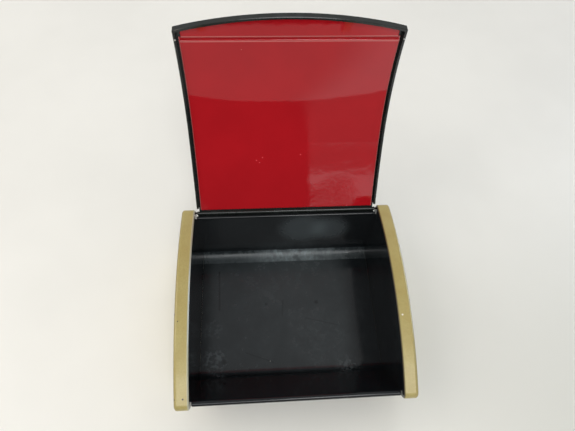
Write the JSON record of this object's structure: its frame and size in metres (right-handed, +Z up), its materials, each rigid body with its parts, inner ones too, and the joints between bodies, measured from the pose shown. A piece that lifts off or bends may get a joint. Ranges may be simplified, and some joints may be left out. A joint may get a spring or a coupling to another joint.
{
  "type": "hinged metal paint box",
  "caption": "Empty enamelled tin paint box: a folded tray between thick arched end caps, with a curved lid that swings up on a full-width rear hinge.",
  "frame": {"origin": "on the table, below the middle of the tray's floor and midway between the end caps", "axes": "+X towards the box's right-hand end seen from the front, +Y from the front rim to the hinge, +Z up"},
  "size_m": [0.1368, 0.1612, 0.1698],
  "materials": {
    "black_enamel": "gloss stove enamel on tinned sheet steel, lightly scratched",
    "gold_paint": "satin pale gold paint on pressed sheet steel, chipped at the edges",
    "red_enamel": "high gloss red enamel with slight orange peel",
    "steel_wire": "drawn bright wire",
    "solder": "small dots of tinman's solder, left bare"
  },
  "bodies": {
    "box": {"tray": "black_enamel", "front_rim_wire": "steel_wire", "back_rim_wire": "steel_wire", "right_end_cap": "gold_paint", "left_end_cap": "gold_paint", "right_end_panel": "black_enamel", "left_end_panel": "black_enamel", "hinge_pin": "steel_wire"},
    "lid": {"lid_skin": "black_enamel", "lid_corner_solder": "solder", "hinge_barrel": "black_enamel", "main_lining": "red_enamel", "lip_lining": "red_enamel"}
  },
  "joints": [
    {"name": "lid_hinge", "type": "hinge", "parent": "box", "child": "lid", "pos_m": [0, 0.05024, 0.04984], "axis": [1, 0, 0], "range_deg": [0, 114.2]}
  ]
}
